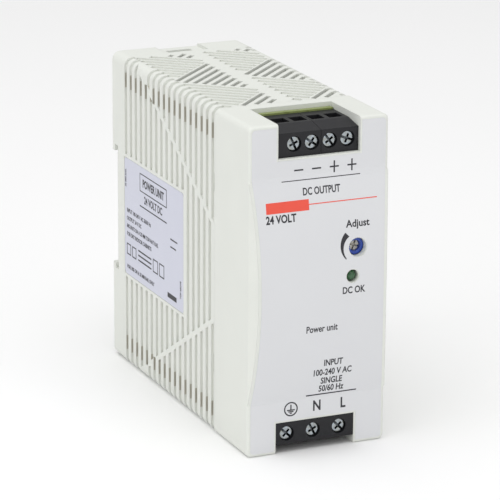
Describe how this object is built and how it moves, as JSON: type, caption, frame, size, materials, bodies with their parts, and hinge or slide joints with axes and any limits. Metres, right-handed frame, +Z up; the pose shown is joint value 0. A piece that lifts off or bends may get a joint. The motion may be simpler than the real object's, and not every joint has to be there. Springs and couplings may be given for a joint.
{
  "type": "din rail power supply",
  "caption": "Narrow upright switching power supply for a 35 mm top-hat rail, with ribbed vented housing, screw terminals at top and bottom, trimmer and lamp.",
  "frame": {"origin": "middle of the body's bottom face, half way between the crown of the front and the rear lips", "axes": "+X to the right seen from the front, +Y towards the rail, +Z up"},
  "size_m": [0.04, 0.1, 0.09],
  "materials": {
    "housing_plastic": "fine-textured light grey ABS/PC",
    "label_film": "satin polyester front film",
    "plate_film": "satin polyester rating plate",
    "latch_plastic": "black polyamide",
    "spring_steel": "drawn spring wire",
    "block_plastic": "black polyamide",
    "zinc_steel": "zinc-plated steel",
    "tinned_metal": "tinned brass",
    "board_laminate": "glass-epoxy laminate with solder mask",
    "trimmer_blue": "blue moulded trimmer body",
    "trimmer_cream": "cream rotor",
    "lamp_green": "green diffused epoxy",
    "nylon_white": "natural nylon",
    "ferrite": "sintered ferrite",
    "bobbin_plastic": "phenolic bobbin",
    "winding_tape": "polyester winding tape",
    "sleeve_black": "shrink sleeve on an aluminium can",
    "film_yellow": "moulded film capacitor case",
    "ceramic_blue": "epoxy-dipped ceramic disc",
    "disc_green": "coated thermistor disc",
    "fuse_brown": "sleeved fuse",
    "epoxy_black": "moulded epoxy package",
    "sink_aluminium": "extruded aluminium",
    "enamelled_copper": "enamelled copper wire",
    "sheet_insulation": "milky polyester insulation sheet"
  },
  "bodies": {
    "body": {"rear_housing": "housing_plastic", "front_cover": "housing_plastic", "front_label": "label_film", "side_label": "plate_film", "latch_spring": "spring_steel", "output_terminal_block_left": "block_plastic", "output_terminal_block_right": "block_plastic", "input_terminal_block": "block_plastic", "output_contacts": "tinned_metal", "input_contacts": "tinned_metal", "front_board": "board_laminate", "main_board": "board_laminate", "board_header": "bobbin_plastic", "trimmer_body": "trimmer_blue", "trimmer_riser": "bobbin_plastic", "power_lamp": "lamp_green", "lamp_leads": "tinned_metal", "lamp_spacer": "nylon_white", "transformer_core": "ferrite", "transformer_bobbin": "bobbin_plastic", "transformer_winding": "winding_tape", "bulk_capacitor": "sleeve_black", "output_capacitors": "sleeve_black", "suppression_capacitor": "film_yellow", "safety_capacitors": "ceramic_blue", "choke_core": "ferrite", "choke_windings": "enamelled_copper", "input_fuse": "fuse_brown", "inrush_thermistor": "disc_green", "bridge_rectifier": "epoxy_black", "transistor_heat_sink": "sink_aluminium", "rectifier_heat_sink": "sink_aluminium", "switching_transistor": "epoxy_black", "output_rectifier": "epoxy_black", "heat_sink_screws": "zinc_steel", "output_inductor": "enamelled_copper", "optocoupler": "epoxy_black", "controller_chip": "epoxy_black", "insulation_sheet": "sheet_insulation"},
    "latch": {"din_latch": "latch_plastic"},
    "trimmer_knob": {"trimmer_rotor": "trimmer_cream"},
    "output_screw_1": {"output_screw_1": "zinc_steel"},
    "output_cage_1": {"output_clamp_cage_1": "tinned_metal"},
    "output_screw_2": {"output_screw_2": "zinc_steel"},
    "output_cage_2": {"output_clamp_cage_2": "tinned_metal"},
    "output_screw_3": {"output_screw_3": "zinc_steel"},
    "output_cage_3": {"output_clamp_cage_3": "tinned_metal"},
    "output_screw_4": {"output_screw_4": "zinc_steel"},
    "output_cage_4": {"output_clamp_cage_4": "tinned_metal"},
    "input_screw_1": {"input_screw_1": "zinc_steel"},
    "input_cage_1": {"input_clamp_cage_1": "tinned_metal"},
    "input_screw_2": {"input_screw_2": "zinc_steel"},
    "input_cage_2": {"input_clamp_cage_2": "tinned_metal"},
    "input_screw_3": {"input_screw_3": "zinc_steel"},
    "input_cage_3": {"input_clamp_cage_3": "tinned_metal"}
  },
  "joints": [
    {"name": "latch_slide", "type": "slide", "parent": "body", "child": "latch", "axis": [0, 0, -1], "range_m": [0, 0.004], "stiffness_N_per_m": 800, "springref_m": -0.003, "deforming": ["latch_spring"]},
    {"name": "trimmer_turn", "type": "hinge", "parent": "body", "child": "trimmer_knob", "pos_m": [0.01005, -0.0455, 0.0556], "axis": [0, 1, 0], "range_deg": [-135, 135]},
    {"name": "output_screw_turn_1", "type": "hinge", "parent": "body", "child": "output_screw_1", "pos_m": [-0.00662, -0.0441, 0.08415], "axis": [0, 1, 0], "range_deg": [0, 1440]},
    {"name": "output_cage_rise_1", "type": "slide", "parent": "body", "child": "output_cage_1", "axis": [0, -1, 0], "range_m": [0, 0.0018]},
    {"name": "output_screw_turn_2", "type": "hinge", "parent": "body", "child": "output_screw_2", "pos_m": [-0.00154, -0.0441, 0.08415], "axis": [0, 1, 0], "range_deg": [0, 1440]},
    {"name": "output_cage_rise_2", "type": "slide", "parent": "body", "child": "output_cage_2", "axis": [0, -1, 0], "range_m": [0, 0.0018]},
    {"name": "output_screw_turn_3", "type": "hinge", "parent": "body", "child": "output_screw_3", "pos_m": [0.00354, -0.0441, 0.08415], "axis": [0, 1, 0], "range_deg": [0, 1440]},
    {"name": "output_cage_rise_3", "type": "slide", "parent": "body", "child": "output_cage_3", "axis": [0, -1, 0], "range_m": [0, 0.0018]},
    {"name": "output_screw_turn_4", "type": "hinge", "parent": "body", "child": "output_screw_4", "pos_m": [0.00862, -0.0441, 0.08415], "axis": [0, 1, 0], "range_deg": [0, 1440]},
    {"name": "output_cage_rise_4", "type": "slide", "parent": "body", "child": "output_cage_4", "axis": [0, -1, 0], "range_m": [0, 0.0018]},
    {"name": "input_screw_turn_1", "type": "hinge", "parent": "body", "child": "input_screw_1", "pos_m": [-0.00844, -0.045, 0.0054], "axis": [0, 1, 0], "range_deg": [0, 1440]},
    {"name": "input_cage_rise_1", "type": "slide", "parent": "body", "child": "input_cage_1", "axis": [0, -1, 0], "range_m": [0, 0.0018]},
    {"name": "input_screw_turn_2", "type": "hinge", "parent": "body", "child": "input_screw_2", "pos_m": [-0.00082, -0.045, 0.0054], "axis": [0, 1, 0], "range_deg": [0, 1440]},
    {"name": "input_cage_rise_2", "type": "slide", "parent": "body", "child": "input_cage_2", "axis": [0, -1, 0], "range_m": [0, 0.0018]},
    {"name": "input_screw_turn_3", "type": "hinge", "parent": "body", "child": "input_screw_3", "pos_m": [0.0068, -0.045, 0.0054], "axis": [0, 1, 0], "range_deg": [0, 1440]},
    {"name": "input_cage_rise_3", "type": "slide", "parent": "body", "child": "input_cage_3", "axis": [0, -1, 0], "range_m": [0, 0.0018]}
  ],
  "couplings": [
    {"joint": "output_screw_turn_1", "follows": "output_cage_rise_1", "rad_per_m": 13963},
    {"joint": "output_screw_turn_2", "follows": "output_cage_rise_2", "rad_per_m": 13963},
    {"joint": "output_screw_turn_3", "follows": "output_cage_rise_3", "rad_per_m": 13963},
    {"joint": "output_screw_turn_4", "follows": "output_cage_rise_4", "rad_per_m": 13963},
    {"joint": "input_screw_turn_1", "follows": "input_cage_rise_1", "rad_per_m": 13963},
    {"joint": "input_screw_turn_2", "follows": "input_cage_rise_2", "rad_per_m": 13963},
    {"joint": "input_screw_turn_3", "follows": "input_cage_rise_3", "rad_per_m": 13963}
  ]
}
